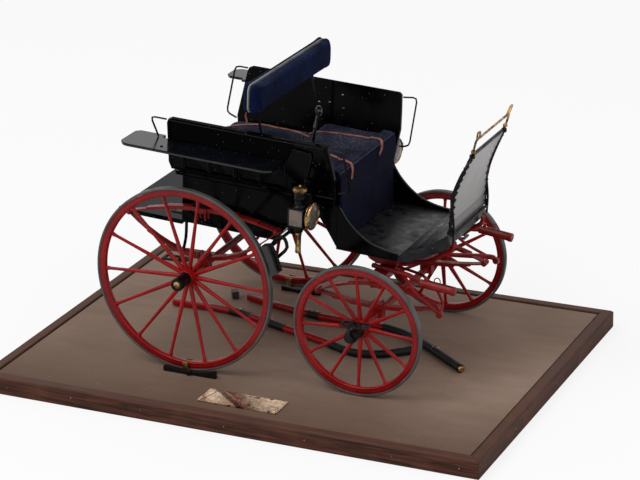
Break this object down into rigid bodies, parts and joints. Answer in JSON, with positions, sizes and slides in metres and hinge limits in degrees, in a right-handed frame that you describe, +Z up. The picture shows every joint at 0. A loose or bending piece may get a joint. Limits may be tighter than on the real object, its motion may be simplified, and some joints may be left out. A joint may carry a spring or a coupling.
{
  "type": "model horse-drawn carriage",
  "caption": "Scale model of an open four-wheeled phaeton with spoked wheels, steering forecarriage, leaf springs, lamps, cushions and a hand brake, on a framed display board.",
  "frame": {"origin": "middle of the display board's underside", "axes": "+X towards the front of the carriage, +Y to its left, +Z up"},
  "size_m": [0.388, 0.282, 0.2248],
  "materials": {
    "board": "matt brown stained board",
    "frame": "dark red-brown stained moulding, satin",
    "plate": "polished, bare",
    "brass": "polished",
    "red_paint": "red gloss paint with black leather sleeves and tips",
    "wood": "bare hardwood",
    "red_wood": "red gloss coach paint with a dark pin-line",
    "tyre_band": "grey band",
    "black_metal": "black gloss",
    "red_metal": "red gloss",
    "body_paint": "black varnished coach paint",
    "leather_black": "black patent",
    "leather_grey": "black patent leather that shines pale grey",
    "wool": "navy wool cloth",
    "lamp_metal": "black with bright edges",
    "lamp_glass": "clear glass in a bright ring"
  },
  "bodies": {
    "carriage": {"base_panel": "board", "base_frame": "frame", "name_plate": "plate", "wheel_clip_right": "brass", "wheel_clip_left": "brass", "shaft_right": "red_paint", "shaft_left": "red_paint", "loose_block": "wood", "rear_axle": "red_metal", "rear_spring_right": "red_metal", "rear_spring_left": "red_metal", "transom": "red_metal", "boot_shell": "body_paint", "seat_side_right": "body_paint", "seat_side_left": "body_paint", "foot_side_right": "body_paint", "foot_side_left": "body_paint", "foot_floor": "body_paint", "fender_right": "leather_black", "fender_left": "leather_black", "dash_panel": "leather_grey", "dash_iron": "black_metal", "rein_rail": "brass", "rear_rail_right": "black_metal", "rear_rail_left": "black_metal", "front_rail_right": "black_metal", "front_rail_left": "black_metal", "front_cushion": "wool", "rear_cushion": "wool", "backrest_pad": "wool", "seat_fall": "wool", "backrest_iron": "black_metal", "lamp_right": "lamp_metal", "lamp_left": "lamp_metal", "rear_step_right": "black_metal", "rear_step_left": "black_metal"},
    "rear_right": {"rear_wheel_right": "red_wood", "rear_tyre_right": "tyre_band", "rear_hub_cap_right": "black_metal"},
    "rear_left": {"rear_wheel_left": "red_wood", "rear_tyre_left": "tyre_band", "rear_hub_cap_left": "black_metal"},
    "front_right": {"front_wheel_right": "red_wood", "front_tyre_right": "tyre_band", "front_hub_cap_right": "black_metal"},
    "front_left": {"front_wheel_left": "red_wood", "front_tyre_left": "tyre_band", "front_hub_cap_left": "black_metal"},
    "forecarriage": {"front_axle": "red_metal", "front_spring_right": "red_metal", "front_spring_left": "red_metal", "fore_frame": "red_metal"},
    "brake": {"brake_gear": "black_metal", "brake_block_right": "wood", "brake_block_left": "wood"},
    "tail": {"tailboard": "body_paint"},
    "door_right": {"lamp_door_right": "lamp_glass"},
    "door_left": {"lamp_door_left": "lamp_glass"}
  },
  "joints": [
    {"name": "rear_right_spin", "type": "hinge", "parent": "carriage", "child": "rear_right", "pos_m": [-0.0574, -0.0686, 0.08235], "axis": [0, 1, 0], "continuous": true},
    {"name": "rear_left_spin", "type": "hinge", "parent": "carriage", "child": "rear_left", "pos_m": [-0.0574, 0.0934, 0.08235], "axis": [0, 1, 0], "continuous": true},
    {"name": "steering", "type": "hinge", "parent": "carriage", "child": "forecarriage", "pos_m": [0.0755, 0.0124, 0.085], "axis": [0, 0, 1], "range_deg": [-20, 20]},
    {"name": "front_right_spin", "type": "hinge", "parent": "forecarriage", "child": "front_right", "pos_m": [0.0755, -0.0646, 0.06124], "axis": [0, 1, 0], "continuous": true},
    {"name": "front_left_spin", "type": "hinge", "parent": "forecarriage", "child": "front_left", "pos_m": [0.0755, 0.0894, 0.06124], "axis": [0, 1, 0], "continuous": true},
    {"name": "brake_lever", "type": "hinge", "parent": "carriage", "child": "brake", "pos_m": [0.0096, 0.0124, 0.1152], "axis": [0, 1, 0], "range_deg": [-6, 6]},
    {"name": "tailboard_hinge", "type": "hinge", "parent": "carriage", "child": "tail", "pos_m": [-0.07898, 0.0124, 0.11012], "axis": [0, 1, 0], "range_deg": [0, 75]},
    {"name": "lamp_door_right_hinge", "type": "hinge", "parent": "carriage", "child": "door_right", "pos_m": [0.03857, -0.0732, 0.1394], "axis": [-0.061, 0, -0.9981], "range_deg": [0, 100]},
    {"name": "lamp_door_left_hinge", "type": "hinge", "parent": "carriage", "child": "door_left", "pos_m": [0.03857, 0.098, 0.1394], "axis": [0.061, 0, 0.9981], "range_deg": [0, 100]}
  ]
}
